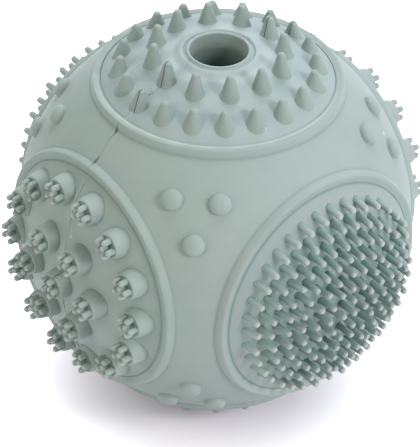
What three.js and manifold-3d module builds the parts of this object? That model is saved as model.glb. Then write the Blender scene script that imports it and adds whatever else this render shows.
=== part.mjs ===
// A hollow rubber ball for cleaning a dog's teeth, 8 cm across, moulded as two halves.
// The seam is the plane y = 0 and the treat hole is on +z. Six round patches face the six axes:
// cones on top and bottom, nubbed studs on the left and right, bristles on the front and rear.
import * as THREE from 'three';
import { mergeVertices } from 'three/addons/utils/BufferGeometryUtils.js';
import Module from 'manifold-3d';

// Shell, in millimetres and degrees
const BALL_RADIUS = 37;
const WALL = 8.5;
const SEAT_GAP = 0.3;

// Round patches and the ribs that frame them
const PATCH_ANGLE = 35.7;
const PATCH_RECESS = 0.9;
const PATCH_THICKNESS = 3;
const RIB_WIDTH = 2.4;
const RIB_HEIGHT = 0.9;
const RIB_SKEW = 1.5;

// Treat hole with its flat lip
const HOLE_RADIUS = 5.4;
const LIP_WIDTH = 1.3;
const LIP_STEP = 0.51;

// Domed bumps, three in each corner between the ribs
const BUMP_RADIUS = 2.15;
const BUMP_HEIGHT = 1.5;
const BUMP_SHOULDER_RADIUS = 1.7;
const BUMP_SHOULDER_HEIGHT = 1;
const BUMP_SPREAD = 7.9;
const BUMP_DRIFT = -0.075;

// Cones in two rings
const INNER_CONE_COUNT = 12;
const OUTER_CONE_COUNT = 20;
const INNER_CONE_HEIGHT = 4.2;
const OUTER_CONE_HEIGHT = 3;
const CONE_BASE_RADIUS = 1.85;
const CONE_TIP_RADIUS = 0.55;
const LIP_TO_CONE_BAND = 3.45;
const CONE_EDGE_BAND = 1.55;

// Studs in two rings round one in the middle, each topped with nubs
const INNER_STUD_COUNT = 6;
const OUTER_STUD_COUNT = 14;
const INNER_STUD_RING = 8.7;
const STUD_EDGE_BAND = 0.95;
const INNER_STUD_HEIGHT = 2.4;
const OUTER_STUD_HEIGHT = 1.85;
const STUD_BASE_RADIUS = 2.8;
const STUD_TOP_RADIUS = 2.35;
const NUB_COUNT = 5;
const NUB_RING = 1.65;
const NUB_HEIGHT = 1.4;
const NUB_RADIUS = 0.55;

// Bristles in rings round one in the middle, counted from the inside out
const BRISTLE_COUNTS = [4, 12, 16, 24, 28, 32, 36];
const MIDDLE_BRISTLE_LENGTH = 4.1;
const EDGE_BRISTLE_LENGTH = 3.35;
const BRISTLE_RADIUS = 0.6;
const BRISTLE_EDGE_BAND = 2.05;

// Facet counts
const RING_SIDES = 20;
const DOME_STEPS = 3;
const SHELL_SIDES = 28;
const CAVITY_SIDES = 16;
const BORE_SIDES = 20;
const CONE_SIDES = 6;
const STUD_SIDES = 8;
const BUMP_SIDES = 6;
const NUB_SIDES = 3;
const BRISTLE_SIDES = 3;

const RUBBER = { color: 0xa3b2aa, roughness: 0.78, metalness: 0 };

// Sizes that follow from those above
const patchTop = BALL_RADIUS - PATCH_RECESS;
const seatRadius = patchTop - PATCH_THICKNESS;
const pocketRadius = seatRadius - SEAT_GAP;
const padAngle = PATCH_ANGLE - THREE.MathUtils.radToDeg(SEAT_GAP / seatRadius);
const [padEdge, padEdgeHeight] = arc(BALL_RADIUS, padAngle, padAngle, 1)[0];
const domeDrop = patchTop - padEdgeHeight;
const domeRadius = (padEdge ** 2 + domeDrop ** 2) / (2 * domeDrop);
const lipRadius = HOLE_RADIUS + LIP_WIDTH;
const lipTop = domeHeight(lipRadius) + LIP_STEP;
const innerConeRing = lipRadius + LIP_TO_CONE_BAND + CONE_BASE_RADIUS;
const outerConeRing = padEdge - CONE_EDGE_BAND - CONE_BASE_RADIUS;
const outerStudRing = padEdge - STUD_EDGE_BAND - STUD_BASE_RADIUS;
const outerBristleRing = padEdge - BRISTLE_EDGE_BAND - BRISTLE_RADIUS;
const bristlePitch = outerBristleRing / BRISTLE_COUNTS.length;
const reach = BALL_RADIUS * 2;

const wasm = await Module();
wasm.setup();

// Each patch has its own axes: z points out of the ball along the patch's middle.
const [X, Y, Z] = [[1, 0, 0], [0, 1, 0], [0, 0, 1]].map((v) => new THREE.Vector3(...v));
const minus = (v) => v.clone().negate();
const PATCH_AXES = {
  top: new THREE.Matrix4().makeBasis(X, Y, Z),
  bottom: new THREE.Matrix4().makeBasis(X, minus(Y), minus(Z)),
  left: new THREE.Matrix4().makeBasis(minus(Y), Z, minus(X)),
  right: new THREE.Matrix4().makeBasis(Y, Z, X),
  front: new THREE.Matrix4().makeBasis(X, Z, minus(Y)),
  rear: new THREE.Matrix4().makeBasis(minus(X), Z, Y),
};

// Height of a patch's domed surface at a distance from the patch's axis. The dome is flatter than the
// ball: level with the shell at the patch's edge and sunk below the ball's surface in the middle.
function domeHeight(distance) {
  return patchTop - domeRadius + Math.sqrt(domeRadius ** 2 - distance ** 2);
}

// Depth that a peg's root needs so that its whole foot is inside the sloping dome
function rootDepth(distance, footRadius) {
  return domeHeight(distance) - domeHeight(distance + footRadius) + SEAT_GAP;
}

// Closed solid from a geometry, with shared corners joined and empty triangles left out
function toSolid(geometry) {
  const bare = geometry.clone();
  bare.deleteAttribute('normal');
  bare.deleteAttribute('uv');
  const merged = mergeVertices(bare);
  const corners = merged.index.array;
  const triangles = [];
  for (let i = 0; i < corners.length; i += 3) {
    const [a, b, c] = corners.slice(i, i + 3);
    if (a !== b && b !== c && c !== a) triangles.push(a, b, c);
  }
  const vertProperties = merged.attributes.position.array;
  const triVerts = new Uint32Array(triangles);
  return new wasm.Manifold(new wasm.Mesh({ numProp: 3, vertProperties, triVerts }));
}

function joined(solids) {
  return solids.reduce((whole, solid) => whole.add(solid));
}

function toMesh(name, solid) {
  const { vertProperties, triVerts } = solid.getMesh();
  const geometry = new THREE.BufferGeometry();
  geometry.setAttribute('position', new THREE.BufferAttribute(vertProperties, 3));
  geometry.setIndex(new THREE.BufferAttribute(triVerts, 1));
  geometry.computeVertexNormals();
  const mesh = new THREE.Mesh(geometry, new THREE.MeshStandardMaterial(RUBBER));
  mesh.name = name;
  return mesh;
}

// Profile of [distance from the axis, height] points turned round the z axis
function revolve(profile, sides) {
  const points = profile.map(([distance, height]) => new THREE.Vector2(distance, height));
  return new THREE.LatheGeometry(points, sides).rotateX(Math.PI / 2);
}

// Points of an arc about the ball's centre, between two angles from the axis
function arc(radius, fromAngle, toAngle, steps) {
  return Array.from({ length: steps + 1 }, (_, i) => {
    const angle = THREE.MathUtils.degToRad(fromAngle + ((toAngle - fromAngle) * i) / steps);
    return [radius * Math.sin(angle), radius * Math.cos(angle)];
  });
}

// Straight prism on the z axis between two heights, with the section area of a round rod
function prism(radius, sides, bottom, top) {
  const cornerRadius = radius * Math.sqrt((2 * Math.PI) / sides / Math.sin((2 * Math.PI) / sides));
  const outline = new THREE.Shape(ring(cornerRadius, sides).map(([x, y]) => new THREE.Vector2(x, y)));
  const options = { depth: top - bottom, bevelEnabled: false };
  return new THREE.ExtrudeGeometry(outline, options).translate(0, 0, bottom);
}

// Places on a ring round a patch's axis, at equal steps
function ring(radius, count) {
  return Array.from({ length: count }, (_, i) => {
    const angle = (2 * Math.PI * i) / count;
    return [radius * Math.cos(angle), radius * Math.sin(angle)];
  });
}

// Backing of a patch: a slice of the wall, domed outside and seated on a shallow cone
function backing() {
  const floor = arc(seatRadius, 0, padAngle, 1);
  const dome = Array.from({ length: DOME_STEPS + 1 }, (_, i) => {
    const distance = padEdge * (1 - i / DOME_STEPS);
    return [distance, domeHeight(distance)];
  });
  return toSolid(revolve([...floor, ...dome], RING_SIDES));
}

// Pegs of one kind on a patch, standing along the patch's axis
function pegs(places, shape) {
  return joined(places.flatMap(([x, y]) => {
    const distance = Math.hypot(x, y);
    return shape(distance).map((piece) => toSolid(piece.translate(x, y, domeHeight(distance))));
  }));
}

// Cone with a small flat tip
function cone(height) {
  return (distance) => {
    const root = rootDepth(distance, CONE_BASE_RADIUS);
    const profile = [[0, -root], [CONE_BASE_RADIUS, -root], [CONE_TIP_RADIUS, height], [0, height]];
    return [revolve(profile, CONE_SIDES)];
  };
}

// Tapered stud with its nubs, a ring of them round a middle one
function stud(height) {
  return (distance) => {
    const root = rootDepth(distance, STUD_BASE_RADIUS);
    const profile = [[0, -root], [STUD_BASE_RADIUS, -root], [STUD_TOP_RADIUS, height], [0, height]];
    const nubs = [[0, 0], ...ring(NUB_RING, NUB_COUNT)].map((place) => nub(place, height));
    return [revolve(profile, STUD_SIDES), ...nubs];
  };
}

// Nub rooted in the top of a stud, with a flat side facing out
function nub([x, y], studHeight) {
  const rod = prism(NUB_RADIUS, NUB_SIDES, studHeight - SEAT_GAP, studHeight + NUB_HEIGHT);
  return rod.rotateZ(Math.PI + Math.atan2(y, x)).translate(x, y, 0);
}

// Bristle, shorter towards the edge of the patch by the square of its distance from the axis
function bristle(distance) {
  const share = (distance / outerBristleRing) ** 2;
  const length = MIDDLE_BRISTLE_LENGTH + (EDGE_BRISTLE_LENGTH - MIDDLE_BRISTLE_LENGTH) * share;
  return [prism(BRISTLE_RADIUS, BRISTLE_SIDES, -rootDepth(distance, BRISTLE_RADIUS), length)];
}

function conePad() {
  const inner = pegs(ring(innerConeRing, INNER_CONE_COUNT), cone(INNER_CONE_HEIGHT));
  const outer = pegs(ring(outerConeRing, OUTER_CONE_COUNT), cone(OUTER_CONE_HEIGHT));
  return backing().add(inner).add(outer);
}

// The bore runs from the cavity to past the lip
function bore() {
  const cylinder = new THREE.CylinderGeometry(HOLE_RADIUS, HOLE_RADIUS, reach, BORE_SIDES);
  return toSolid(cylinder.rotateX(Math.PI / 2).translate(0, 0, reach / 2));
}

function topConePad() {
  const lip = revolve([[0, seatRadius + SEAT_GAP], [lipRadius, seatRadius + SEAT_GAP],
    [lipRadius, lipTop], [0, lipTop]], BORE_SIDES);
  return conePad().add(toSolid(lip)).subtract(bore());
}

function studPad() {
  const inner = pegs([[0, 0], ...ring(INNER_STUD_RING, INNER_STUD_COUNT)], stud(INNER_STUD_HEIGHT));
  const outer = pegs(ring(outerStudRing, OUTER_STUD_COUNT), stud(OUTER_STUD_HEIGHT));
  return backing().add(inner).add(outer);
}

function bristlePad() {
  const rings = BRISTLE_COUNTS.flatMap((count, i) => ring(bristlePitch * (i + 1), count));
  return backing().add(pegs([[0, 0], ...rings], bristle));
}

// Angle at the ball's centre that a length on the shell's surface spans
function spanOnShell(length) {
  return THREE.MathUtils.radToDeg(length / BALL_RADIUS);
}

// Frame of a patch: the wall of its pocket with a rounded rib on top, rooted in the shell. The rib's
// crest is nearer to the patch, because its section is half an ellipse skewed inwards.
function patchFrame() {
  const width = spanOnShell(RIB_WIDTH);
  const crown = [0, 60, 120, 180].map((turn) => {
    const angle = THREE.MathUtils.degToRad(turn);
    const radius = BALL_RADIUS + RIB_HEIGHT * Math.sin(angle);
    const share = ((1 - Math.cos(angle)) / 2) ** RIB_SKEW;
    return arc(radius, PATCH_ANGLE + width * share, 0, 1)[0];
  });
  const root = arc(pocketRadius - SEAT_GAP, PATCH_ANGLE, PATCH_ANGLE + width, 1);
  const profile = [...root, ...crown.reverse()];
  return revolve([...profile, profile[0]], RING_SIDES);
}

// Pocket that takes a patch's backing, open to the outside and as wide as the middle of the rib
function pocket() {
  const angle = PATCH_ANGLE + spanOnShell(RIB_WIDTH) / 2;
  const floor = arc(pocketRadius, 0, angle, 1);
  const mouth = arc(reach, angle, 0, 1);
  return revolve([...floor, ...mouth], RING_SIDES);
}

// Directions of the bumps: each corner's middle, which lies a little nearer to the left patch, tipped
// towards the three edges that meet there
function bumpDirections() {
  const signs = [-1, 1];
  const corners = signs.flatMap((x) => signs.flatMap((y) => signs.map((z) => new THREE.Vector3(x, y, z))));
  return corners.flatMap((corner) => ['x', 'y', 'z'].map((axis) => {
    const edge = corner.clone();
    edge[axis] = 0;
    const middle = corner.clone();
    middle.x += BUMP_DRIFT;
    const turnAxis = middle.clone().cross(edge).normalize();
    return middle.normalize().applyAxisAngle(turnAxis, THREE.MathUtils.degToRad(BUMP_SPREAD));
  }));
}

function bump(direction) {
  const root = BUMP_RADIUS / 2;
  const shoulder = [BUMP_SHOULDER_RADIUS, BUMP_SHOULDER_HEIGHT];
  const profile = [[0, -root], [BUMP_RADIUS, -root], shoulder, [0, BUMP_HEIGHT]];
  const turn = new THREE.Quaternion().setFromUnitVectors(Z, direction);
  const peg = revolve(profile, BUMP_SIDES).translate(0, 0, BALL_RADIUS);
  return peg.applyQuaternion(turn);
}

// Both halves of the shell in one piece, before the seam divides it
function wholeShell() {
  const axes = Object.values(PATCH_AXES);
  const outside = new THREE.SphereGeometry(BALL_RADIUS, SHELL_SIDES, SHELL_SIDES / 2).rotateX(Math.PI / 2);
  const cavity = new THREE.SphereGeometry(BALL_RADIUS - WALL, CAVITY_SIDES, CAVITY_SIDES / 2);
  const bumps = bumpDirections().map((direction) => toSolid(bump(direction)));
  let shell = joined([toSolid(outside), ...bumps]);
  for (const frame of axes) shell = shell.subtract(toSolid(pocket().applyMatrix4(frame)));
  for (const frame of axes) shell = shell.add(toSolid(patchFrame().applyMatrix4(frame)));
  return shell.subtract(toSolid(cavity.rotateX(Math.PI / 2))).subtract(bore());
}

// Block on one side of the seam, side -1 in front and 1 behind
function sideOfSeam(side) {
  return toSolid(new THREE.BoxGeometry(2 * reach, reach, 2 * reach).translate(0, (side * reach) / 2, 0));
}

// A patch's solid, turned from its own axes to the ball's
function turned(solid, frame) {
  return toSolid(toMesh('', solid).geometry.applyMatrix4(frame));
}

const shell = wholeShell();
const splitPads = {
  top_cone_pad: topConePad(),
  bottom_cone_pad: turned(conePad(), PATCH_AXES.bottom),
  left_stud_pad: turned(studPad(), PATCH_AXES.left),
  right_stud_pad: turned(studPad(), PATCH_AXES.right),
};

// One half-moulding: its shell, its bristles and its share of the patches that the seam divides
function halfMoulding(end, side) {
  const half = new THREE.Group();
  const block = sideOfSeam(side);
  half.add(toMesh(`${end}_half_shell`, shell.intersect(block)));
  half.add(toMesh(`${end}_bristle_pad`, turned(bristlePad(), PATCH_AXES[end])));
  for (const [name, pad] of Object.entries(splitPads)) {
    half.add(toMesh(`${name}_${end}`, pad.intersect(block)));
  }
  return half;
}

const ball = new THREE.Group();
ball.add(halfMoulding('front', -1), halfMoulding('rear', 1));

export default ball;
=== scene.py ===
import bmesh
import bpy
import numpy as np
from mathutils import Matrix


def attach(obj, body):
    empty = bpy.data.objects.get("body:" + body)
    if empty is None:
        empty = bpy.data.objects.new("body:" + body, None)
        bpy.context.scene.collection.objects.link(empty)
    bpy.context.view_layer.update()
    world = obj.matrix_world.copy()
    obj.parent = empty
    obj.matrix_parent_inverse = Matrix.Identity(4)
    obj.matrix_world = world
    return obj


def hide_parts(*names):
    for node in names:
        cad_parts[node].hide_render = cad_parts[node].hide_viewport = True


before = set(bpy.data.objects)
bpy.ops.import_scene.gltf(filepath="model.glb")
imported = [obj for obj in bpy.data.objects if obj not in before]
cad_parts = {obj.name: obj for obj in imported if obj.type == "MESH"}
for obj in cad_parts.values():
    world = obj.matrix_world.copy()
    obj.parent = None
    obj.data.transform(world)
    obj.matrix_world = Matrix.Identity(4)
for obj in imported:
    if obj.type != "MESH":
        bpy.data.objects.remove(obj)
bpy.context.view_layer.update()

bpy.context.scene.view_settings.view_transform = "Standard"


# Half shells: the two hollow half-mouldings of the ball, in natural rubber 8.5 mm thick. Each leaves its
# mould with a rib round every patch, three domed bumps in every corner between the ribs and half of the
# treat hole. The halves are bonded at the seam, the plane y = 0, face to face. Sizes are in millimetres.
MM = 0.001
BALL_RADIUS = 37.0
CAVITY_RADIUS = 28.5
CREASE = np.radians(35.7)
SEAT_RADIUS = 33.05
BORE_RADIUS = 5.4
RIB_HEIGHTS = {"front": 0.95, "rear": 0.88}
RIB_RUNS = {"front": 2.5, "rear": 2.25}
RIB_CREST = 1.15
RIB_FALL_POWER = 1.5
ROW_CROWDING = 1.4
SEAM_LIP = 0.11
SEAM_LIP_PLACE = 0.36
SEAM_LIP_WIDTH = 0.2
SEAM_GROOVE = 0.08
SEAM_GROOVE_WIDTH = 0.15
SEAM_NOTCH = 0.55
SEAM_NOTCH_PLACE = 0.2
SEAM_NOTCH_LENGTH = 0.75
SEAM_NOTCH_WIDTH = 0.24
BUMP_RADIUS = 1.98
BUMP_HEIGHT = 1.5
BUMP_POWER = 2.5
BUMP_FILLET = 0.13
BUMP_SKIRT = 0.08
BUMP_ROOT = 0.8
BUMP_SPREAD = np.radians(7.9)
BUMP_DRIFT = -0.075
GRAIN_DEPTH = 0.06
WELD_REACH = 0.002
SHARP_ANGLE = np.radians(60)
# Values of painted light and scuffs: painted shade is taken away, and scuffs and painted highlights are
# added. Their places, widths and fades are in millimetres
DARKEST_TONE = 0.42
PALEST_SHARE = 0.4
CREASE_SHADE = {"top": 1.7, "bottom": 1.7, "left": 0.9, "right": 0.9, "front": 1.1, "rear": 1.1}
CREASE_WIDTH = 0.22
FOOT_SHADE = 0.5
FOOT_WIDTH = 0.3
POCKET_SHADE = 1.3
CAVITY_SHADE = 1.5
RIB_HIGHLIGHT = 1.5
RIB_HIGHLIGHT_PLACE = 0.3
CREASE_SHADE_SIDE = np.array([0.65, 0.76])
CREASE_SHADE_MIDDLE = 0.85
CREASE_SHADE_RISE = 0.045
CREASE_SHADE_LEAST = 0.1
# Axes of each patch as rows, two across it and one out of it; then the turn round its axis, in degrees, at
# which the front half of a divided patch starts, and what is added to it for each half
PATCH_AXES = {
    "top": np.array([(1, 0, 0), (0, 1, 0), (0, 0, 1)]),
    "bottom": np.array([(1, 0, 0), (0, -1, 0), (0, 0, -1)]),
    "left": np.array([(0, -1, 0), (0, 0, 1), (-1, 0, 0)]),
    "right": np.array([(0, 1, 0), (0, 0, 1), (1, 0, 0)]),
    "front": np.array([(1, 0, 0), (0, 0, 1), (0, -1, 0)]),
    "rear": np.array([(-1, 0, 0), (0, 0, 1), (0, 1, 0)]),
}
HALF_STARTS = {"top": 180, "bottom": 0, "left": -90, "right": 90}
HALVES = {"front": 0, "rear": 180}


def math_node(tree, operation, first, second):
    """Result of a Math node that works on two values, each a number or another node's output."""
    node = tree.nodes.new("ShaderNodeMath")
    node.operation = operation
    for socket, value in zip(node.inputs, (first, second)):
        if isinstance(value, float):
            socket.default_value = value
        else:
            tree.links.new(value, socket)
    return node.outputs["Value"]


def rubber_group():
    """Shader group of moulded natural rubber: cloudy bloom, mould grain, pale specks of dust, and a value of
    painted light and scuffs that leads from painted shade in creases at -2 over painted shade on sides at -1
    and plain rubber at 0 to pale tips at 1, partly scuffed and partly painted highlight."""
    group = bpy.data.node_groups.new("moulded_rubber", "ShaderNodeTree")
    sockets = group.interface
    sockets.new_socket("Place", in_out="INPUT", socket_type="NodeSocketVector")
    sockets.new_socket("Rubber", in_out="INPUT", socket_type="NodeSocketColor")
    sockets.new_socket("Bloom", in_out="INPUT", socket_type="NodeSocketColor")
    sockets.new_socket("Shade Colour", in_out="INPUT", socket_type="NodeSocketColor")
    sockets.new_socket("Dust And Highlight", in_out="INPUT", socket_type="NodeSocketColor")
    sockets.new_socket("Painted Light And Wear", in_out="INPUT", socket_type="NodeSocketFloat")
    sockets.new_socket("Color", in_out="OUTPUT", socket_type="NodeSocketColor")
    sockets.new_socket("Roughness", in_out="OUTPUT", socket_type="NodeSocketFloat")
    sockets.new_socket("Height", in_out="OUTPUT", socket_type="NodeSocketFloat")
    nodes, links = group.nodes, group.links
    given = nodes.new("NodeGroupInput")
    made = nodes.new("NodeGroupOutput")

    def noise(scale, detail):
        """Cloudy pattern on the object's own coordinates, from nought to one."""
        node = nodes.new("ShaderNodeTexNoise")
        node.inputs["Scale"].default_value = scale
        node.inputs["Detail"].default_value = detail
        links.new(given.outputs["Place"], node.inputs["Vector"])
        return node.outputs["Fac"]

    def spread(value, span, result):
        """Value carried evenly from a span to a range of results, and held at the ends of both."""
        node = nodes.new("ShaderNodeMapRange")
        node.inputs["From Min"].default_value, node.inputs["From Max"].default_value = span
        node.inputs["To Min"].default_value, node.inputs["To Max"].default_value = result
        links.new(value, node.inputs["Value"])
        return node.outputs["Result"]

    def blend(share, first, second):
        """Colour that goes from the first to the second with the share."""
        node = nodes.new("ShaderNodeMix")
        node.data_type = "RGBA"
        links.new(share, node.inputs["Factor"])
        links.new(first, node.inputs["A"])
        links.new(second, node.inputs["B"])
        return node.outputs["Result"]

    clouds = noise(scale=70.0, detail=3.0)
    mottle = noise(scale=420.0, detail=2.0)
    grain = noise(scale=3600.0, detail=2.0)
    specks = nodes.new("ShaderNodeTexVoronoi")
    specks.inputs["Scale"].default_value = 230.0
    links.new(given.outputs["Place"], specks.inputs["Vector"])
    few = nodes.new("ShaderNodeSeparateColor")
    links.new(specks.outputs["Color"], few.inputs["Color"])
    dot = spread(specks.outputs["Distance"], (0.05, 0.1), (1.0, 0.0))
    dust = math_node(group, "MULTIPLY", dot, spread(few.outputs["Red"], (0.86, 0.9), (0.0, 0.8)))

    cloudy = spread(clouds, (0.35, 0.7), (0.0, 0.55))
    bloom = math_node(group, "ADD", cloudy, spread(mottle, (0.3, 0.7), (0.0, 0.25)))
    bloomed = blend(bloom, given.outputs["Rubber"], given.outputs["Bloom"])
    # Painted shade: towards the shade colour as the value falls to -1, and darker still, as in creases, down
    # to -2.
    depth = spread(given.outputs["Painted Light And Wear"], (-1.0, 0.0), (1.0, 0.0))
    toward_shade = blend(depth, bloomed, given.outputs["Shade Colour"])
    darkened = nodes.new("ShaderNodeVectorMath")
    darkened.operation = "SCALE"
    links.new(toward_shade, darkened.inputs["Vector"])
    tone = spread(given.outputs["Painted Light And Wear"], (-2.0, -1.0), (DARKEST_TONE, 1.0))
    links.new(tone, darkened.inputs["Scale"])
    # Paler towards the dust colour as the value rises to 1: tips partly scuffed and partly painted
    # highlight, and painted highlights.
    rub_and_highlight = spread(given.outputs["Painted Light And Wear"], (0.0, 1.0), (0.0, PALEST_SHARE))
    rubbed_and_highlit = blend(rub_and_highlight, darkened.outputs["Vector"], given.outputs["Dust And Highlight"])
    links.new(blend(dust, rubbed_and_highlit, given.outputs["Dust And Highlight"]), made.inputs["Color"])

    matt = spread(clouds, (0.3, 0.7), (0.56, 0.66))
    matt = math_node(group, "ADD", matt, spread(grain, (0.3, 0.7), (-0.04, 0.06)))
    links.new(matt, made.inputs["Roughness"])
    swells = math_node(group, "MULTIPLY", mottle, 0.8)
    pits = math_node(group, "MULTIPLY", grain, 0.5)
    links.new(math_node(group, "ADD", swells, pits), made.inputs["Height"])
    return group


def rubber(name, base, bloom, shade_colour, dust):
    """Matt natural rubber: the moulded rubber group's colour, roughness and grain on one plain shader. Its
    shade colour is painted shade, and its dust colour gives both real specks of dust and pale tips that are
    partly painted highlight.
    """
    material = bpy.data.materials.new(name)
    material.use_nodes = True
    nodes, links = material.node_tree.nodes, material.node_tree.links
    shader = nodes["Principled BSDF"]
    place = nodes.new("ShaderNodeTexCoord")
    painted_light_and_wear = nodes.new("ShaderNodeAttribute")
    painted_light_and_wear.attribute_name = "painted_light_and_wear"
    finish = nodes.new("ShaderNodeGroup")
    finish.node_tree = RUBBER_GROUP
    finish.inputs["Rubber"].default_value = (*base, 1)
    finish.inputs["Bloom"].default_value = (*bloom, 1)
    finish.inputs["Shade Colour"].default_value = (*shade_colour, 1)
    finish.inputs["Dust And Highlight"].default_value = (*dust, 1)
    bump = nodes.new("ShaderNodeBump")
    bump.inputs["Strength"].default_value = 0.35
    bump.inputs["Distance"].default_value = GRAIN_DEPTH * MM
    links.new(place.outputs["Object"], finish.inputs["Place"])
    links.new(painted_light_and_wear.outputs["Fac"], finish.inputs["Painted Light And Wear"])
    links.new(finish.outputs["Color"], shader.inputs["Base Color"])
    links.new(finish.outputs["Roughness"], shader.inputs["Roughness"])
    links.new(finish.outputs["Height"], bump.inputs["Height"])
    links.new(bump.outputs["Normal"], shader.inputs["Normal"])
    shader.inputs["Specular IOR Level"].default_value = 0.32
    return material


def grid_quads(rows, columns, wraps):
    """Faces between neighbouring rows and columns of points; a sheet that wraps joins its last column to
    its first."""
    row = np.arange(rows - 1)[:, None]
    column = np.arange(columns if wraps else columns - 1)[None, :]
    after = (column + 1) % columns
    corners = [row * columns + column, row * columns + after,
               (row + 1) * columns + after, (row + 1) * columns + column]
    return np.stack(np.broadcast_arrays(*corners), -1).reshape(-1, 4)


def moulding(name, sheets, material):
    """One rubber piece from sheets of points, given as (points, painted light and scuffs, wraps): each sheet
    or stack of like sheets becomes a grid of faces, touching edges are welded, and flat faces close what is
    open."""
    points, light_and_wear_values, faces, start = [], [], [], 0
    for sheet, painted_light_and_wear, wraps in sheets:
        rows, columns = sheet.shape[-3:-1]
        stack = sheet.reshape(-1, rows * columns, 3)
        offsets = start + rows * columns * np.arange(len(stack))
        faces.append((grid_quads(rows, columns, wraps) + offsets[:, None, None]).reshape(-1, 4))
        points.append(stack.reshape(-1, 3))
        light_and_wear_values.append(np.broadcast_to(painted_light_and_wear, sheet.shape[:-1]).reshape(-1))
        start += stack.shape[0] * stack.shape[1]
    mesh = bpy.data.meshes.new(name)
    mesh.from_pydata(np.concatenate(points) * MM, [], np.concatenate(faces))
    light_and_wear_layer = mesh.attributes.new("painted_light_and_wear", "FLOAT", "POINT")
    light_and_wear_layer.data.foreach_set("value", np.concatenate(light_and_wear_values).astype(np.float32))
    shape = bmesh.new()
    shape.from_mesh(mesh)
    bmesh.ops.remove_doubles(shape, verts=shape.verts, dist=WELD_REACH * MM)
    bmesh.ops.holes_fill(shape, edges=shape.edges, sides=0)
    bmesh.ops.recalc_face_normals(shape, faces=shape.faces)
    shape.to_mesh(mesh)
    shape.free()
    mesh.shade_smooth()
    mesh.set_sharp_from_angle(angle=SHARP_ANGLE)
    mesh.materials.append(material)
    piece = bpy.data.objects.new(name, mesh)
    bpy.context.scene.collection.objects.link(piece)
    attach(piece, "root")
    return piece


def polar(radius, angle, turn):
    """Points at a radius from the ball's centre, at an angle from a patch's axis and a turn round it."""
    return np.stack([radius * np.sin(angle) * np.cos(turn), radius * np.sin(angle) * np.sin(turn),
                     radius * np.cos(angle) + 0 * turn], -1)


def bell(distance, width):
    """One at no distance, fading to both sides as exp(-(distance / width) squared)."""
    return np.exp(-((distance / width) ** 2))


def seam_relief(points, depth, notch):
    """Points pushed in or out along their radius beside the seam: a low lip of flash a third of a millimetre
    from it, less a narrow groove of a given depth and a wider notch. The lip swells as a sine along the
    seam, groove and notch wander across it as a sum of two sines, and all fade as bells."""
    across = points[..., 1]
    along = points[..., 0] + points[..., 2]
    radius = np.linalg.norm(points, axis=-1)
    swell = 1 + 0.6 * np.sin(0.5 * along)
    wander = 0.07 * np.sin(0.9 * along) + 0.05 * np.sin(2.3 * along + 1)
    lip = SEAM_LIP * swell * bell(np.abs(across) - SEAM_LIP_PLACE, SEAM_LIP_WIDTH)
    groove = depth * bell(across - wander, SEAM_GROOVE_WIDTH)
    groove = groove + notch * bell(across - wander, SEAM_NOTCH_WIDTH)
    return points * (1 + np.where(radius > SEAT_RADIUS + 1, lip - groove, 0) / radius)[..., None]


def rib_section(end):
    """Section from the pocket floor's edge over the rib to the shell, as angle and radius: a straight
    pocket wall, a half cosine up to the crest, and a flank that falls with a power of the distance."""
    wall = np.linspace(SEAT_RADIUS - BALL_RADIUS, -0.1, 6)
    inner = np.linspace(0, 1, 12)
    outer = np.linspace(0, 1, 15)[1:]
    along = np.concatenate([0 * wall, RIB_CREST * inner, RIB_CREST + (RIB_RUNS[end] - RIB_CREST) * outer])
    height = np.concatenate([wall, RIB_HEIGHTS[end] * (0.5 - 0.5 * np.cos(np.pi * inner)),
                             RIB_HEIGHTS[end] * (1 - outer ** RIB_FALL_POWER)])
    return CREASE + along / BALL_RADIUS, BALL_RADIUS + height


def crease_shade_share(points):
    """Share of the painted shade in the creases of the cone patches: least towards the ball's front left
    corner and rising evenly away from it."""
    return np.clip(CREASE_SHADE_MIDDLE + CREASE_SHADE_RISE * (points[..., :2] @ CREASE_SHADE_SIDE), CREASE_SHADE_LEAST, 1)


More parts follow.
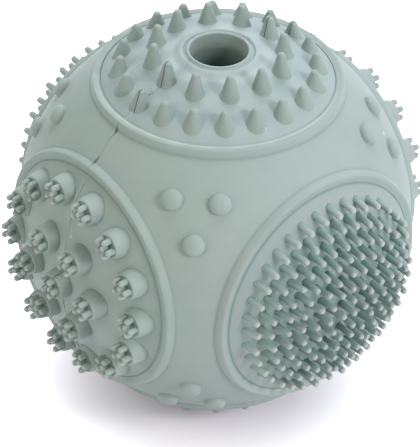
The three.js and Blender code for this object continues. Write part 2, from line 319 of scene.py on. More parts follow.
def surround(patch, turn, end):
    """Shell round one patch: from the patch's axis over the pocket floor and the rib, then along the ball to
    the mid lines between patches, where the angle from the axis is atan(1 / max(|cos turn|, |sin turn|)).
    Rows crowd towards the rib by a power, and the seam bites deeper beside the rib's outer foot. With the
    points comes their painted light: painted shade in the pocket, and as bells painted shade in the crease
    and at the rib's foot, and a painted highlight inside the rib where the crease's painted shade is least."""
    rib_angle, rib_radius = rib_section(end)
    bored = np.arcsin(BORE_RADIUS / np.array([CAVITY_RADIUS, SEAT_RADIUS]))
    floor = np.linspace(bored[1] if patch == "top" else 0, CREASE, 7)[:-1]
    angle = np.concatenate([floor, rib_angle])
    radius = np.concatenate([0 * floor + SEAT_RADIUS, rib_radius])
    if patch == "top":
        angle, radius = np.append(bored[0], angle), np.append(CAVITY_RADIUS, radius)
    far = np.arctan(1 / np.maximum(np.abs(np.cos(turn)), np.abs(np.sin(turn))))
    share = np.linspace(0, 1, 21)[1:, None] ** ROW_CROWDING
    angles = np.concatenate([angle[:, None] + 0 * turn, angle[-1] + (far - angle[-1]) * share])
    radii = np.concatenate([radius, BALL_RADIUS + 0 * share[:, 0]])[:, None]
    from_foot = (angles - rib_angle[-1]) * BALL_RADIUS
    from_crease = (angles - CREASE) * BALL_RADIUS
    notch = SEAM_NOTCH * bell(from_foot - SEAM_NOTCH_PLACE, SEAM_NOTCH_LENGTH)
    points = polar(radii, angles, turn) @ PATCH_AXES[patch]
    # Painted shade in the crease, least towards the ball's front left, with a painted highlight inside the
    # rib where it is least; painted shade at the rib's foot and in the pocket.
    crease_shaded = crease_shade_share(points) if patch in ("top", "bottom") else 1
    painted_light_and_wear = -FOOT_SHADE * bell(from_foot, FOOT_WIDTH)
    painted_light_and_wear = painted_light_and_wear - CREASE_SHADE[patch] * crease_shaded * bell(from_crease, CREASE_WIDTH)
    painted_light_and_wear = painted_light_and_wear + RIB_HIGHLIGHT * (1 - crease_shaded) * bell(from_crease - RIB_HIGHLIGHT_PLACE, CREASE_WIDTH)
    in_pocket = radii < SEAT_RADIUS + 0.1
    return seam_relief(points, SEAM_GROOVE, notch), np.where(in_pocket, -POCKET_SHADE, painted_light_and_wear)


def cavity(turn):
    """Inside of the ball: half a sphere from the edge of the bore down to the bottom."""
    angle = np.linspace(np.arcsin(BORE_RADIUS / CAVITY_RADIUS), np.pi, 60)[:, None]
    return polar(CAVITY_RADIUS, angle, turn) @ PATCH_AXES["top"]


def ball_height(x, y):
    """Height of the ball's surface over a place beside one of its axes."""
    return np.sqrt(BALL_RADIUS ** 2 - x ** 2 - y ** 2)


def pegs(centres, level, outline, turn, seat, stretch=1.0, tip_shift=0.0, taper=0.0):
    """Round pegs on a curved seat, one for each centre (x, y): an outline of (distance, height, hold) turned
    about the peg's axis. Where hold is 1 a point keeps its height over the seat, and where it is 0 over the
    peg's level, so the foot follows the seat while the tip stays square. Each peg has its own stretch of the
    heights and shift of the tip. With a taper, a foot that lies lower than the peg's level spreads by that
    share of the drop."""
    distance, height, hold = (outline[:, i][None, :, None] for i in range(3))
    tip_shift = np.broadcast_to(tip_shift, centres.shape)
    rise = np.clip(height / height.max(), 0, 1)
    axis_x = centres[:, 0, None, None] + rise * tip_shift[:, 0, None, None]
    axis_y = centres[:, 1, None, None] + rise * tip_shift[:, 1, None, None]
    level = np.broadcast_to(level, len(centres))[:, None, None]
    stretch = np.broadcast_to(stretch, len(centres))[:, None, None]
    first_drop = level - seat(axis_x + distance * np.cos(turn), axis_y + distance * np.sin(turn))
    spread = distance + taper * hold * first_drop * (distance > 0)
    x = axis_x + spread * np.cos(turn)
    y = axis_y + spread * np.sin(turn)
    return np.stack([x, y, height * stretch + hold * seat(x, y) + (1 - hold) * level], -1)


def bump_outline():
    """Outline of a domed bump: a round fillet at the foot, then a superellipse over the top."""
    turn_out = np.linspace(-np.pi / 2, -np.pi, 6)
    rise = np.linspace(0, np.pi / 2, 14)[1:]
    fillet_distance = BUMP_RADIUS + BUMP_FILLET * (1 + np.cos(turn_out))
    fillet_height = BUMP_FILLET * (1 + np.sin(turn_out))
    distance = np.concatenate([[0, BUMP_RADIUS + BUMP_FILLET + BUMP_SKIRT], fillet_distance,
                               BUMP_RADIUS * np.cos(rise) ** (2 / BUMP_POWER)])
    dome = BUMP_FILLET + (BUMP_HEIGHT - BUMP_FILLET) * np.sin(rise) ** (2 / BUMP_POWER)
    height = np.concatenate([[-BUMP_ROOT, -BUMP_SKIRT / 2], fillet_height, dome])
    distance[-1] = 0
    return np.stack([distance, height, 0 * height + 1], -1)


def bump_axes(side):
    """Axes of the bumps on one half: the four corners between patches, drifted a little to the left, each
    tipped by the same angle towards the middles of the three edges that meet there. As rows: two across the
    bump and one out of it."""
    corner = np.array([(x, side, z) for x in (-1, 1) for z in (-1, 1)], float)[:, None, :]
    edge = corner * (1 - np.eye(3))
    corner = corner + np.array([BUMP_DRIFT, 0, 0])
    corner = corner / np.linalg.norm(corner, axis=-1, keepdims=True)
    across = edge - (edge * corner).sum(-1, keepdims=True) * corner
    across = across / np.linalg.norm(across, axis=-1, keepdims=True)
    out = (np.cos(BUMP_SPREAD) * corner + np.sin(BUMP_SPREAD) * across).reshape(-1, 3)
    first = np.cross(out, (0.0, 0.0, 1.0))
    first = first / np.linalg.norm(first, axis=-1, keepdims=True)
    return np.stack([first, np.cross(out, first), out], 1)


def half_degrees():
    """Half a turn in whole degrees, with finer steps beside the seam at both ends."""
    fine = np.array([0.12, 0.25, 0.4, 0.6])
    return np.concatenate([[0], fine, np.arange(1, 180), 180 - fine[::-1], [180]])


RUBBER_GROUP = rubber_group()
shell_rubber = rubber("shell_rubber", base=(0.312, 0.404, 0.376), bloom=(0.366, 0.446, 0.422),
                      shade_colour=(0.24, 0.335, 0.31), dust=(0.62, 0.68, 0.64))
full_turn = np.radians(np.arange(360))
bump_turn = np.radians(np.arange(0, 360, 9))
for end, half_start in HALVES.items():
    sheets = [(*surround(end, full_turn, end), True)]
    for patch, start in HALF_STARTS.items():
        turn = np.radians(start + half_start + half_degrees())
        sheets.append((*surround(patch, turn, end), False))
        if patch == "top":
            # Painted shade inside the ball, where it is seen through the hole.
            sheets.append((cavity(turn), -CAVITY_SHADE, False))
    axes = bump_axes(-1 if end == "front" else 1)
    bumps = pegs(np.zeros((len(axes), 2)), BALL_RADIUS, bump_outline(), bump_turn, ball_height)
    # Painted shade round the foot of each bump.
    bump_foot_shade = -FOOT_SHADE * bell(bump_outline()[:, 1], FOOT_WIDTH)[:, None]
    sheets.append((np.einsum("nrci,nij->nrcj", bumps, axes), bump_foot_shade, True))
    half_shell = moulding(f"{end}_shell_moulding", sheets, shell_rubber)
    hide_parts(f"{end}_half_shell")


# Bristle patches: round fields of short soft rubber bristles that comb between the teeth, moulded in one
# with each half on a dome that is a little flatter than the ball. Seven rings round a middle bristle stand
# along the patch's axis, shorter towards the edge, leaning in a little at the front and out at the rear.
PATCH_TOP = 36.1
PAD_GAP = 0.01
PAD_EDGE = BALL_RADIUS * np.sin(CREASE) - PAD_GAP
PAD_ROUND = 0.4
PAD_DROP = 0.2
SEAT_GAP = 0.0003
DOME_DROP = PATCH_TOP - BALL_RADIUS * np.cos(CREASE)
DOME_RADIUS = (PAD_EDGE ** 2 + DOME_DROP ** 2) / (2 * DOME_DROP)
BRISTLE_COUNTS = (4, 12, 16, 24, 28, 32, 36)
BRISTLE_PITCH = 2.67
BRISTLE_RADIUS = 0.69
BRISTLE_LENGTH = 4.1
BRISTLE_SHORTENING = {"front": 0.22, "rear": 0.12}
BRISTLE_FOOT_SPREAD = 1.012
BRISTLE_LEAN = {"front": -0.012, "rear": 0.02}
BRISTLE_SWAY = 0.17
EDGE_SHADE = 0.9
EDGE_WIDTH = 0.25
FIELD_SHADE = 0.6
FIELD_FADE = 2
BRISTLE_SHADE = 1
BRISTLE_TIP_RUB_AND_HIGHLIGHT = 1.6
BRISTLE_OUTER_SHADE_LIFT = 0.5
BRISTLE_ROOT_SHADE = 0.7
BRISTLE_ROOT_WIDTH = 0.1


def dome_height(x, y):
    """Height of a patch's dome: a sphere flatter than the ball, level with the ball at the patch's edge."""
    return PATCH_TOP - DOME_RADIUS + np.sqrt(DOME_RADIUS ** 2 - x ** 2 - y ** 2)


def pad_section(dome_start):
    """Section of a patch's backing as distance from its axis and height: the dome from a start outwards, a
    rounded edge that dips into the crease, the side wall, and the seat back to the middle."""
    dip = np.linspace(0, np.pi / 2, 7)[1:]
    dome = np.linspace(dome_start, PAD_EDGE - PAD_ROUND, 40)
    edge = PAD_EDGE - PAD_ROUND * (1 - np.sin(dip))
    seat = np.linspace(CREASE - SEAT_GAP, 0, 8)
    distance = np.concatenate([dome, edge, SEAT_RADIUS * np.sin(seat)])
    height = np.concatenate([dome_height(dome, 0), dome_height(edge, 0) - PAD_DROP * (1 - np.cos(dip)),
                             SEAT_RADIUS * np.cos(seat)])
    return distance, height


def edge_shade(distance):
    """Painted shade on a patch's backing: darkest at its edge, fading inwards as a bell."""
    return -EDGE_SHADE * bell(distance - PAD_EDGE, EDGE_WIDTH)[:, None]


def revolved(distance, height, turn):
    """A section of distances and heights turned round a patch's axis."""
    return np.stack([distance * np.cos(turn), distance * np.sin(turn), height + 0 * turn], -1)


def on_rings(counts, radii):
    """Places at equal steps round a patch's axis, a ring for each count and radius, from the inside out."""
    turns = [2 * np.pi * np.arange(count) / count for count in counts]
    return np.concatenate([radius * np.stack([np.cos(turn), np.sin(turn)], -1)
                           for radius, turn in zip(radii, turns)])


def bristle_outline():
    """Outline of a bristle: a small flared foot, a shank that thins slightly and a round tip."""
    distance = np.array([1.25, 1.1, 1.0, 0.93, 0.78, 0.44, 0]) * BRISTLE_RADIUS
    height = np.array([-0.15, 0.06, 0.45, BRISTLE_LENGTH - 0.5, BRISTLE_LENGTH - 0.18,
                       BRISTLE_LENGTH - 0.04, BRISTLE_LENGTH])
    return np.stack([distance, height, np.array([1, 1, 0.85, 0, 0, 0, 0])], -1)


bristle_rubber = rubber("bristle_rubber", base=(0.318, 0.412, 0.390), bloom=(0.370, 0.454, 0.438),
                        shade_colour=(0.230, 0.358, 0.325), dust=(0.60, 0.63, 0.50))
bristle_rings = BRISTLE_PITCH * np.arange(len(BRISTLE_COUNTS) + 1)
bristle_places = on_rings((1, *BRISTLE_COUNTS), bristle_rings)
bristle_levels = dome_height(*bristle_places.T)
bristle_reach = (bristle_places ** 2).sum(-1)[:, None, None] / bristle_rings[-1] ** 2
bristle_rise = np.clip(bristle_outline()[:, 1] / BRISTLE_LENGTH, 0, 1)[:, None]
# Painted shade on the bristles' shanks, darker at their roots and lifted as painted light on the outer
# rings; pale tips, partly scuffed and partly painted highlight.
bristle_light_and_wear = BRISTLE_TIP_RUB_AND_HIGHLIGHT * bristle_rise ** 6 - BRISTLE_SHADE + BRISTLE_OUTER_SHADE_LIFT * bristle_reach ** 3
bristle_light_and_wear = bristle_light_and_wear - BRISTLE_ROOT_SHADE * bell(bristle_rise, BRISTLE_ROOT_WIDTH)
bristle_turn = np.radians(np.arange(0, 360, 40))
backing_turn = np.radians(np.arange(0, 360, 2))
pad_distance, pad_height = pad_section(0)
# Painted shade on the backing at its edge and under the field of bristles.
in_field = np.clip((bristle_rings[-1] - pad_distance) / FIELD_FADE, 0, 1)
backing_shade_and_paling = edge_shade(pad_distance) - FIELD_SHADE * in_field[:, None]
backing = revolved(pad_distance[:, None], pad_height[:, None], backing_turn)
for seed, end in enumerate(HALVES):
    sway = np.random.default_rng(seed).normal(0, BRISTLE_SWAY, bristle_places.shape)
    stretch = 1 - BRISTLE_SHORTENING[end] * bristle_reach[:, 0, 0]
    tip_shift = sway + BRISTLE_LEAN[end] * bristle_places
    field = pegs(bristle_places * BRISTLE_FOOT_SPREAD, bristle_levels, bristle_outline(), bristle_turn,
                 dome_height, stretch, tip_shift)
    sheets = [(backing @ PATCH_AXES[end], backing_shade_and_paling, True),
              (field @ PATCH_AXES[end], bristle_light_and_wear, True)]
    bristle_patch = moulding(f"{end}_bristle_patch", sheets, bristle_rubber)
    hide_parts(f"{end}_bristle_pad")


# Cone patches: two rings of blunt rubber cones on the top and the bottom, for the ball to stand on and to be
# bitten on. The seam divides each patch, and the two cones that stand on it, and leaves ragged fins of
# flash. The top one has the treat hole in its middle, with a thin bead round its edge and a flat lip.
CONE_RINGS = (12.0, 17.92)
CONE_COUNTS = (12, 20)
CONE_HEIGHTS = (4.2, 3.0)
CONE_BASE = 1.74
CONE_TIP = 0.72
CONE_ROUND = 0.5
CONE_FLARE = 0.1
CONE_FLARE_HEIGHT = 0.25
CONE_ROOT = 1.0
CONE_SKIRT = 0.1
CONE_SPREAD = 1.25
LIP_RADIUS = 6.85
LIP_TOP = 36.07
LIP_FALL = 1.7
RIM_EDGE = 0.12
VALLEY_RUN = 0.35
VALLEY_DROP = 0.42
BEAD_RADIUS = 0.3
BEAD_DROP = 0.1
BORE_DROP = 0.2
BORE_MARKS = 0.03
BORE_MARGIN = 0.1
BORE_MOUTH = 0.15
PARTING = 0.09
SPLIT_TURN = 13
PATCH_GROOVE = 0.05
SEAM_REACH = 0.01
FIN_WIDTH = 0.22
FIN_CREST_WIDTH = 0.4 * FIN_WIDTH
FIN_ROOT = 0.3
FIN_BEND = 0.45
CONE_FIN_HEIGHT = 0.42
CONE_SHADE = 0.9
CONE_TIP_RUB_AND_HIGHLIGHT = 0.3
FIN_PALE_AND_HIGHLIGHT = 1
BORE_SHADE = 0.55
BORE_SHADE_RISE = 0.28
HOLE_PALING = 0.7
HOLE_PALING_RADIUS = 8.5
HOLE_PALING_WIDTH = 1.8


def half_turns(distance, start):
    """Turns for half a patch, a row for each distance of its section: two-degree steps between, and beside
    the seam columns at fixed distances from it, so that the seam's groove keeps its width to the middle."""
    reach = np.maximum(distance, 0.01)[:, None]
    near = np.array([0, 0.07, 0.15, 0.27, 0.42, 0.62])
    limit = np.radians(9) * near / near[-1]
    near = np.minimum(np.arcsin(np.minimum(near / reach, 1)), limit)
    between = np.radians(np.arange(10, 171, 2)) + 0 * reach
    return np.radians(start) + np.concatenate([near, between, np.pi - near[:, ::-1]], 1)


def half_backing(section, patch, start):
    """Half of a patch's backing on one side of the seam, its section turned through half a turn."""
    distance, height = section
    points = revolved(distance[:, None], height[:, None], half_turns(distance, start))
    return seam_relief(points @ PATCH_AXES[patch], PATCH_GROOVE, 0)


def lip_section():
    """Section of the holed patch as distance and height: up the bore with its turning marks as a sum of two
    sines, over a round bead at the hole's edge, up from a valley as the root of a cosine to the lip's rim
    and down a half cosine to the dome, out to the edge and back along the seat."""
    bore = np.linspace(0, 1, 60)
    marks = np.sin(56 * bore) + 0.7 * np.sin(143 * bore + 1)
    bead = np.linspace(np.pi, 0.02 * np.pi, 11)
    fall = np.linspace(0, 1, 12)
    climb = fall[::2]
    bore_foot = np.sqrt(SEAT_RADIUS ** 2 - BORE_RADIUS ** 2)
    rim_rise = LIP_TOP - dome_height(LIP_RADIUS, 0)
    outside = LIP_RADIUS + LIP_FALL * fall
    pad_distance, pad_height = pad_section(LIP_RADIUS + LIP_FALL)
    beyond = pad_distance > BORE_RADIUS
    distance = np.concatenate([BORE_RADIUS + BORE_MARKS * marks * np.minimum(8 * bore, 1),
                               BORE_RADIUS + BEAD_RADIUS * (1 + np.cos(bead)),
                               LIP_RADIUS - RIM_EDGE - VALLEY_RUN * (1 - climb),
                               outside, pad_distance[beyond][1:], [BORE_RADIUS]])
    height = np.concatenate([bore_foot + (LIP_TOP - BORE_DROP - bore_foot) * bore,
                             LIP_TOP - BEAD_DROP + BEAD_RADIUS * np.sin(bead),
                             LIP_TOP - VALLEY_DROP * np.cos(climb * np.pi / 2) ** 0.5,
                             dome_height(outside, 0) + rim_rise * (0.5 + 0.5 * np.cos(np.pi * fall)),
                             pad_height[beyond][1:], [bore_foot]])
    return distance, height


def cone_outline(height):
    """Outline of a cone: straight sides from the base to the tip's radius, a foot that flares out as
    exp(-height) and a tip rounded as a quarter of an ellipse."""
    side = (height - CONE_ROUND) * np.array([0, 0.03, 0.07, 0.12, 0.2, 0.35, 0.5, 0.65, 0.8, 0.92, 1.0])
    tip = np.linspace(0, np.pi / 2, 6)[1:]
    flare = CONE_FLARE * np.exp(-side / CONE_FLARE_HEIGHT)
    distance = CONE_BASE + (CONE_TIP - CONE_BASE) * side / side[-1] + flare
    distance = np.concatenate([[0, distance[0] + CONE_SKIRT], distance, CONE_TIP * np.cos(tip)])
    up = np.concatenate([[-CONE_ROOT, -CONE_SKIRT], side, height - CONE_ROUND + CONE_ROUND * np.sin(tip)])
    distance[-1] = 0
    return np.stack([distance, up, np.clip(1 - up / side[-1], 0, 1)], -1)


def split_pegs(places, levels, outline, start, front, taper=0.0):
    """The half of each divided peg on one side of the seam, drawn back from it so that a slit stays open.
    The front half is a little less than half the peg, and stands lower by as much as it is drawn back."""
    spare = SPLIT_TURN if front else -SPLIT_TURN
    turn = np.radians(start + spare + (180 - 2 * spare) * np.linspace(0, 1, 21))
    halves = pegs(places, levels, outline, turn, dome_height, taper=taper)
    middle = np.radians(start + 90)
    return halves + PARTING * np.array([np.cos(middle), np.sin(middle), -1.0 if front else 0.0])


def seam_side(places, start):
    """Which places lie clear of the seam on the side that begins at a turn, and which lie on the seam."""
    turn = np.radians(start + 90)
    side = places @ np.array([np.cos(turn), np.sin(turn)])
    return side > SEAM_REACH, np.abs(side) <= SEAM_REACH


def flash_fins(spans, start, height, seed):
    """Ragged fins along the seam, one for each span of distances from the patch's axis: a three-sided ridge
    whose crest rises as a power of a sine over the span, with a ripple, and bends and wanders sideways by
    seeded sines."""
    share = np.linspace(0, 1, 17)[:, None]
    turn = np.radians(start)
    along = np.array([np.cos(turn), np.sin(turn)])
    across = np.array([-np.sin(turn), np.cos(turn)])
    random = np.random.default_rng(seed)
    corners = np.array([-FIN_WIDTH, -FIN_CREST_WIDTH, FIN_CREST_WIDTH, FIN_WIDTH])
    fins = []
    for first, last in spans:
        phase, bend = random.uniform(0, 6, 3), random.uniform(-FIN_BEND, FIN_BEND)
        wander = bend * np.sin(np.pi * share) + 0.08 * np.sin(9 * share + phase[0])
        crest = height * (0.75 + 0.25 * np.sin(11 * share + phase[1])) * np.sin(np.pi * share) ** 0.4
        place = ((first + (last - first) * share)[..., None] * along
                 + (wander + corners)[..., None] * across)
        rise = np.where(np.abs(corners) < FIN_WIDTH, crest, -FIN_ROOT)
        level = dome_height(place[..., 0], place[..., 1]) + rise
        fins.append(np.concatenate([place, level[..., None]], -1))
    return np.stack(fins)


# Its base and bloom are bluer than the shell rubber's, standing in for cool light from above: painted light.
cone_rubber = rubber("cone_rubber", base=(0.320, 0.410, 0.398), bloom=(0.374, 0.456, 0.450),
                     shade_colour=(0.298, 0.382, 0.348), dust=(0.56, 0.65, 0.66))
peg_turn = np.radians(np.arange(0, 360, 10))
cone_fin_spans = [(side * first, side * last) for side in (-1, 1)
                  for first, last in ((14.0, 16.0), (19.6, 22.1))]
for patch, section in {"top": lip_section(), "bottom": pad_section(0)}.items():
    distance, level = section
    # Painted shade down the bore, darker with depth, and on the top patch a paler ring round the hole.
    in_bore = (distance < BORE_RADIUS + BORE_MARGIN) & (level < LIP_TOP - BORE_MOUTH)
    bore_shade = -(BORE_SHADE + BORE_SHADE_RISE * (LIP_TOP - level)) * in_bore
    hole_paling = HOLE_PALING * bell(distance - HOLE_PALING_RADIUS, HOLE_PALING_WIDTH)
    hole_shade_and_paling = (bore_shade + hole_paling) * (patch == "top")
    for end, half_start in HALVES.items():
        start = HALF_STARTS[patch] + half_start
        backing = half_backing(section, patch, start)
        # Painted shade at the backing's edge, least towards the ball's front left.
        backing_shade_and_paling = edge_shade(distance) * crease_shade_share(backing) + hole_shade_and_paling[:, None]
        sheets = [(backing, backing_shade_and_paling, False)]
        for ring, count, height in zip(CONE_RINGS, CONE_COUNTS, CONE_HEIGHTS):
            places = on_rings([count], [ring])
            levels = dome_height(*places.T)
            clear, divided = seam_side(places, start)
            outline = cone_outline(height)
            taper = CONE_SPREAD * (CONE_BASE - CONE_TIP) / (height - CONE_ROUND)
            cone_rise = np.clip(outline[:, 1] / height, 0, 1)[:, None]
            # Painted shade on the cones' sides, and pale tips, partly scuffed and partly painted highlight.
            cone_light_and_wear = CONE_TIP_RUB_AND_HIGHLIGHT * cone_rise ** 4 - CONE_SHADE
            whole = pegs(places[clear], levels[clear], outline, peg_turn, dome_height, taper=taper)
            halved = split_pegs(places[divided], levels[divided], outline, start, end == "front", taper)
            sheets.append((whole @ PATCH_AXES[patch], cone_light_and_wear, True))
            sheets.append((halved @ PATCH_AXES[patch], cone_light_and_wear, False))
        if end == "front":
            # The fins are pale, partly as the flash's own paler rubber and partly as painted highlight.
            fins = flash_fins(cone_fin_spans, start=0, height=CONE_FIN_HEIGHT, seed=3)
            sheets.append((fins @ PATCH_AXES[patch], FIN_PALE_AND_HIGHLIGHT, True))
        cone_patch = moulding(f"{patch}_cone_patch_{end}", sheets, cone_rubber)
        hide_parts(f"{patch}_cone_pad_{end}")


# Stud patches: round-shouldered rubber studs on the left and the right, one in the middle and two rings
# round it. Each carries a crown of small nubs that work like a brush head, shorter on the middle stud. They
# are moulded in one with the two halves, and the seam divides the patch and its middle stud.
STUD_RINGS = (8.7, 17.57)
STUD_COUNTS = (6, 14)
INNER_STUD_HEIGHT = 2.45
OUTER_STUD_HEIGHT = 1.9
STUD_BASE = 2.84
STUD_TOP = 2.5
STUD_RIM = 0.24
STUD_FLAT = STUD_TOP - STUD_RIM - 0.2
STUD_BULGE = 0.08
STUD_SINK = 0.1
STUD_ROOT = 2.0
STUD_SKIRT = 0.12
STUD_LEDGE = 0.05
STUD_FIN_HEIGHT = 0.3
NUB_COUNT = 5
NUB_RING = 1.62
NUB_RADIUS = 0.6
NUB_HEIGHT = 1.3
NUB_ROUND = 0.42
NUB_ROOT = 0.5
RING_NUB_STRETCH = 1.3
STUD_SIDE_HIGHLIGHT = 0.1
STUD_FOOT_SHADE = 0.9
STUD_TOP_SHADE = 0.7
NUB_TIP_RUB_AND_HIGHLIGHT = 1.4
NUB_SHADE = 0.5


def stud_outline(height):
    """Outline of a stud: a crisp foot, a side that tapers and bulges a little as a sine, a tight round rim
    and a flat top sunk a little inside the rim."""
    side = np.linspace(0, 1, 10)
    rim = np.linspace(0, np.pi / 2, 6)[1:]
    up = (height - STUD_RIM) * side
    taper = STUD_BASE + (STUD_TOP - STUD_BASE) * side + STUD_BULGE * np.sin(np.pi * side)
    distance = np.concatenate([[0, STUD_BASE + STUD_SKIRT, STUD_BASE + STUD_LEDGE], taper,
                               STUD_TOP - STUD_RIM + STUD_RIM * np.cos(rim), [STUD_FLAT, 0]])
    level = np.concatenate([[-STUD_ROOT, -STUD_SKIRT, -0.02], up + STUD_LEDGE,
                            height - STUD_RIM + STUD_RIM * np.sin(rim), [height - STUD_SINK] * 2])
    return np.stack([distance, level, np.clip(1 - level / (height - STUD_RIM), 0, 1)], -1)


def nub_outline():
    """Outline of a nub: a stub that thins slightly, with a round tip, rooted in the top of its stud."""
    tip = np.linspace(0, np.pi / 2, 4)
    distance = np.concatenate([[1.1, 1.03], np.cos(tip)]) * NUB_RADIUS
    height = np.concatenate([[-NUB_ROOT, 0.1], NUB_HEIGHT - NUB_ROUND + NUB_ROUND * np.sin(tip)])
    distance[-1] = 0
    return np.stack([distance, height, 0 * height], -1)


stud_rubber = rubber("stud_rubber", base=(0.314, 0.408, 0.380), bloom=(0.370, 0.450, 0.426),
                     shade_colour=(0.23, 0.322, 0.298), dust=(0.60, 0.66, 0.60))
nub_turn = np.radians(np.arange(0, 360, 36))
nub_offsets = on_rings((1, NUB_COUNT), (0, NUB_RING))
# Painted shade at the nubs' roots, and pale tips, partly scuffed and partly painted highlight.
nub_light_and_wear = NUB_TIP_RUB_AND_HIGHLIGHT * np.clip(nub_outline()[:, 1] / NUB_HEIGHT, 0, 1)[:, None] ** 1.5 - NUB_SHADE
stud_fin_spans = [(side * first, side * last) for side in (-1, 1)
                  for first, last in ((3.2, 9.5), (11, 21.4))]
stud_groups = {INNER_STUD_HEIGHT: on_rings((1, STUD_COUNTS[0]), (0, STUD_RINGS[0])),
               OUTER_STUD_HEIGHT: on_rings(STUD_COUNTS[1:], STUD_RINGS[1:])}
for patch in ("left", "right"):
    for end, half_start in HALVES.items():
        start = HALF_STARTS[patch] + half_start
        backing = half_backing(pad_section(0), patch, start)
        sheets = [(backing, edge_shade(pad_distance), False)]
        for height, places in stud_groups.items():
            levels = dome_height(*places.T)
            nub_places = (places[:, None, :] + nub_offsets).reshape(-1, 2)
            nub_levels = np.repeat(levels + height, len(nub_offsets))
            nub_stretch = np.repeat(np.where(places.any(-1), RING_NUB_STRETCH, 1), len(nub_offsets))
            clear, divided = seam_side(places, start)
            nub_clear, nub_divided = seam_side(nub_places, start)
            outline = stud_outline(height)
            on_top = outline[:, 0] < STUD_FLAT + 0.1
            # A slight painted highlight on the studs' sides, painted shade at their feet, and painted shade
            # on their tops between the nubs.
            stud_side_light = STUD_SIDE_HIGHLIGHT - STUD_FOOT_SHADE * bell(outline[:, 1], FOOT_WIDTH)
            stud_painted_light = np.where(on_top, -STUD_TOP_SHADE, stud_side_light)[:, None]
            studs = pegs(places[clear], levels[clear], outline, peg_turn, dome_height)
            nubs = pegs(nub_places[nub_clear], nub_levels[nub_clear], nub_outline(), nub_turn, dome_height,
                        nub_stretch[nub_clear])
            sheets.append((studs @ PATCH_AXES[patch], stud_painted_light, True))
            sheets.append((nubs @ PATCH_AXES[patch], nub_light_and_wear, True))
            if divided.any():
                half_studs = split_pegs(places[divided], levels[divided], outline, start, end == "front")
                half_nubs = split_pegs(nub_places[nub_divided], nub_levels[nub_divided], nub_outline(),
                                       start, end == "front")
                sheets.append((half_studs @ PATCH_AXES[patch], stud_painted_light, False))
                sheets.append((half_nubs @ PATCH_AXES[patch], nub_light_and_wear, False))
        if end == "front":
            # The fins are pale, partly as the flash's own paler rubber and partly as painted highlight.
            fins = flash_fins(stud_fin_spans, start=90, height=STUD_FIN_HEIGHT, seed=5)
            sheets.append((fins @ PATCH_AXES[patch], FIN_PALE_AND_HIGHLIGHT, True))
        stud_patch = moulding(f"{patch}_stud_patch_{end}", sheets, stud_rubber)
        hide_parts(f"{patch}_stud_pad_{end}")


# Studio: a wide floor of white paper under the cones that the ball stands on, a white surround and six soft
# lamps, the strongest above, behind and in front. The camera has a long lens and looks down at the ball
# from the front left, and its roll and small shifts give the photograph's frame.
FLOOR_LEVEL = -38.56 * MM
FLOOR_SIDE = 6000 * MM
FLOOR_UNSEEN = (0.84, 0.80, 0.83, 1)
FLOOR_COVERED = (0.97, 0.91, 1.03, 1)
FLOOR_OPEN = (0.95, 0.98, 0.9, 1)
FLOOR_GLOW = (0.84, 0.81, 0.95, 1)
COVER_REACH = 15 * MM
CAMERA_AZIMUTH = np.radians(-40.411)
CAMERA_ELEVATION = np.radians(37.131)
CAMERA_ROLL = np.radians(1.544)
CAMERA_DISTANCE = 589.41 * MM
CAMERA_RIGHT_SHIFT = 0.84 * MM
CAMERA_UP_SHIFT = 2.786 * MM
CAMERA_LENS = 251.5
CAMERA_SENSOR = 36.0


def seen_white(tree):
    """One where a ray comes straight from the camera or off a glossy or clear surface, else nought."""
    path = tree.nodes.new("ShaderNodeLightPath")
    seen = math_node(tree, "MAXIMUM", path.outputs["Is Camera Ray"], path.outputs["Is Glossy Ray"])
    return math_node(tree, "MAXIMUM", seen, path.outputs["Is Transmission Ray"])


def floor_paper():
    """White paper that keeps the ball's shadow: a matt colour and, where it is seen, a glow that falls with
    the square of the open share above each point. The colour shifts too where the ball stands close. Both
    paint extra shade on the paper close to the ball."""
    material = bpy.data.materials.new("floor_paper")
    material.use_nodes = True
    tree = material.node_tree
    nodes, links = tree.nodes, tree.links
    nodes.remove(nodes["Principled BSDF"])
    seen = seen_white(tree)
    # The occlusion within reach paints extra shade close to the ball, in the seen colour and in the glow.
    cover = nodes.new("ShaderNodeAmbientOcclusion")
    cover.inputs["Distance"].default_value = COVER_REACH
    shaded = nodes.new("ShaderNodeMix")
    shaded.data_type = "RGBA"
    shaded.inputs["A"].default_value = FLOOR_COVERED
    shaded.inputs["B"].default_value = FLOOR_OPEN
    links.new(cover.outputs["AO"], shaded.inputs["Factor"])
    whitened = nodes.new("ShaderNodeMix")
    whitened.data_type = "RGBA"
    whitened.inputs["A"].default_value = FLOOR_UNSEEN
    links.new(seen, whitened.inputs["Factor"])
    links.new(shaded.outputs["Result"], whitened.inputs["B"])
    paper = nodes.new("ShaderNodeBsdfDiffuse")
    links.new(whitened.outputs["Result"], paper.inputs["Color"])
    glow = nodes.new("ShaderNodeEmission")
    glow.inputs["Color"].default_value = FLOOR_GLOW
    open_share = math_node(tree, "POWER", cover.outputs["AO"], 2.0)
    links.new(math_node(tree, "MULTIPLY", seen, open_share), glow.inputs["Strength"])
    both = nodes.new("ShaderNodeAddShader")
    links.new(paper.outputs["BSDF"], both.inputs[0])
    links.new(glow.outputs["Emission"], both.inputs[1])
    links.new(both.outputs["Shader"], nodes["Material Output"].inputs["Surface"])
    return material


def stand(name, data, right, back, place):
    """Lamp or camera at a place in metres, turned by its right and back axes; up is their cross product."""
    matrix = np.eye(4)
    matrix[:3] = np.stack([right, np.cross(back, right), back, place], 1)
    stood = bpy.data.objects.new(name, data)
    stood.matrix_world = Matrix(matrix.tolist())
    bpy.context.scene.collection.objects.link(stood)
    return stood


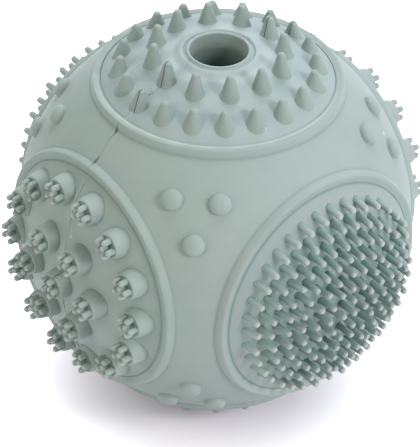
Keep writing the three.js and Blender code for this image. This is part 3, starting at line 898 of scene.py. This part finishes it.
def lamp(name, place, side, power, colour):
    """Square soft lamp, its place and side in metres, facing the ball's centre."""
    data = bpy.data.lights.new(name, "AREA")
    data.shape = "SQUARE"
    data.size = side
    data.energy = power
    data.color = colour
    back = np.array(place) / np.linalg.norm(place)
    right = np.cross((0, 0, 1), back)
    stand(name, data, right / np.linalg.norm(right), back, np.array(place))


def camera_axes(azimuth, elevation, roll):
    """Right, up and back axes of a camera that stands at an azimuth round Z from the ball's front and at an
    elevation, faces the centre and is rolled about its line of sight."""
    level_right = np.array([np.cos(azimuth), np.sin(azimuth), 0])
    level_back = np.array([np.sin(azimuth), -np.cos(azimuth), 0])
    back = np.cos(elevation) * level_back + np.sin(elevation) * np.array([0, 0, 1])
    right = np.cos(roll) * level_right + np.sin(roll) * np.cross(back, level_right)
    return right, np.cross(back, right), back


floor_mesh = bpy.data.meshes.new("floor")
floor_corners = np.array([(-1, -1, 0), (1, -1, 0), (1, 1, 0), (-1, 1, 0)]) * FLOOR_SIDE / 2
floor_mesh.from_pydata(floor_corners + np.array([0, 0, FLOOR_LEVEL]), [], [(0, 1, 2, 3)])
floor_mesh.materials.append(floor_paper())
floor = bpy.data.objects.new("floor", floor_mesh)
bpy.context.scene.collection.objects.link(floor)

world = bpy.data.worlds.new("white_studio")
bpy.context.scene.world = world
world.use_nodes = True
nodes, links = world.node_tree.nodes, world.node_tree.links
around = nodes["Background"]
around.inputs["Color"].default_value = (1.0, 0.96, 0.9, 1)
around.inputs["Strength"].default_value = 0.145
backdrop = nodes.new("ShaderNodeBackground")
backdrop.inputs["Color"].default_value = (1, 1, 1, 1)
backdrop.inputs["Strength"].default_value = 1.0
mixed = nodes.new("ShaderNodeMixShader")
links.new(seen_white(world.node_tree), mixed.inputs["Fac"])
links.new(around.outputs["Background"], mixed.inputs[1])
links.new(backdrop.outputs["Background"], mixed.inputs[2])
links.new(mixed.outputs["Shader"], nodes["World Output"].inputs["Surface"])

lamp("top_lamp", place=(0.204, 0.151, 0.706), side=0.36, power=2.8, colour=(0.95, 0.93, 1.0))
lamp("back_lamp", place=(0.43, 0.43, 0.43), side=0.4, power=2.35, colour=(0.89, 0.93, 1.0))
lamp("front_lamp", place=(0.114, -0.617, 0.411), side=0.18, power=2.25, colour=(1.0, 0.98, 0.99))
lamp("low_lamp", place=(0.171, -0.73, -0.01), side=0.3, power=1.57, colour=(1.0, 0.92, 0.93))
lamp("right_lamp", place=(0.469, -0.532, 0.243), side=0.45, power=1.2, colour=(0.93, 0.86, 1.0))
lamp("left_lamp", place=(-0.64, 0.06, 0.37), side=0.5, power=2.1, colour=(1.0, 0.96, 0.87))

camera_data = bpy.data.cameras.new("camera")
camera_data.lens = CAMERA_LENS
camera_data.sensor_width = CAMERA_SENSOR
right, up, back = camera_axes(CAMERA_AZIMUTH, CAMERA_ELEVATION, CAMERA_ROLL)
camera_place = back * CAMERA_DISTANCE - right * CAMERA_RIGHT_SHIFT - up * CAMERA_UP_SHIFT
bpy.context.scene.camera = stand("camera", camera_data, right, back, camera_place)
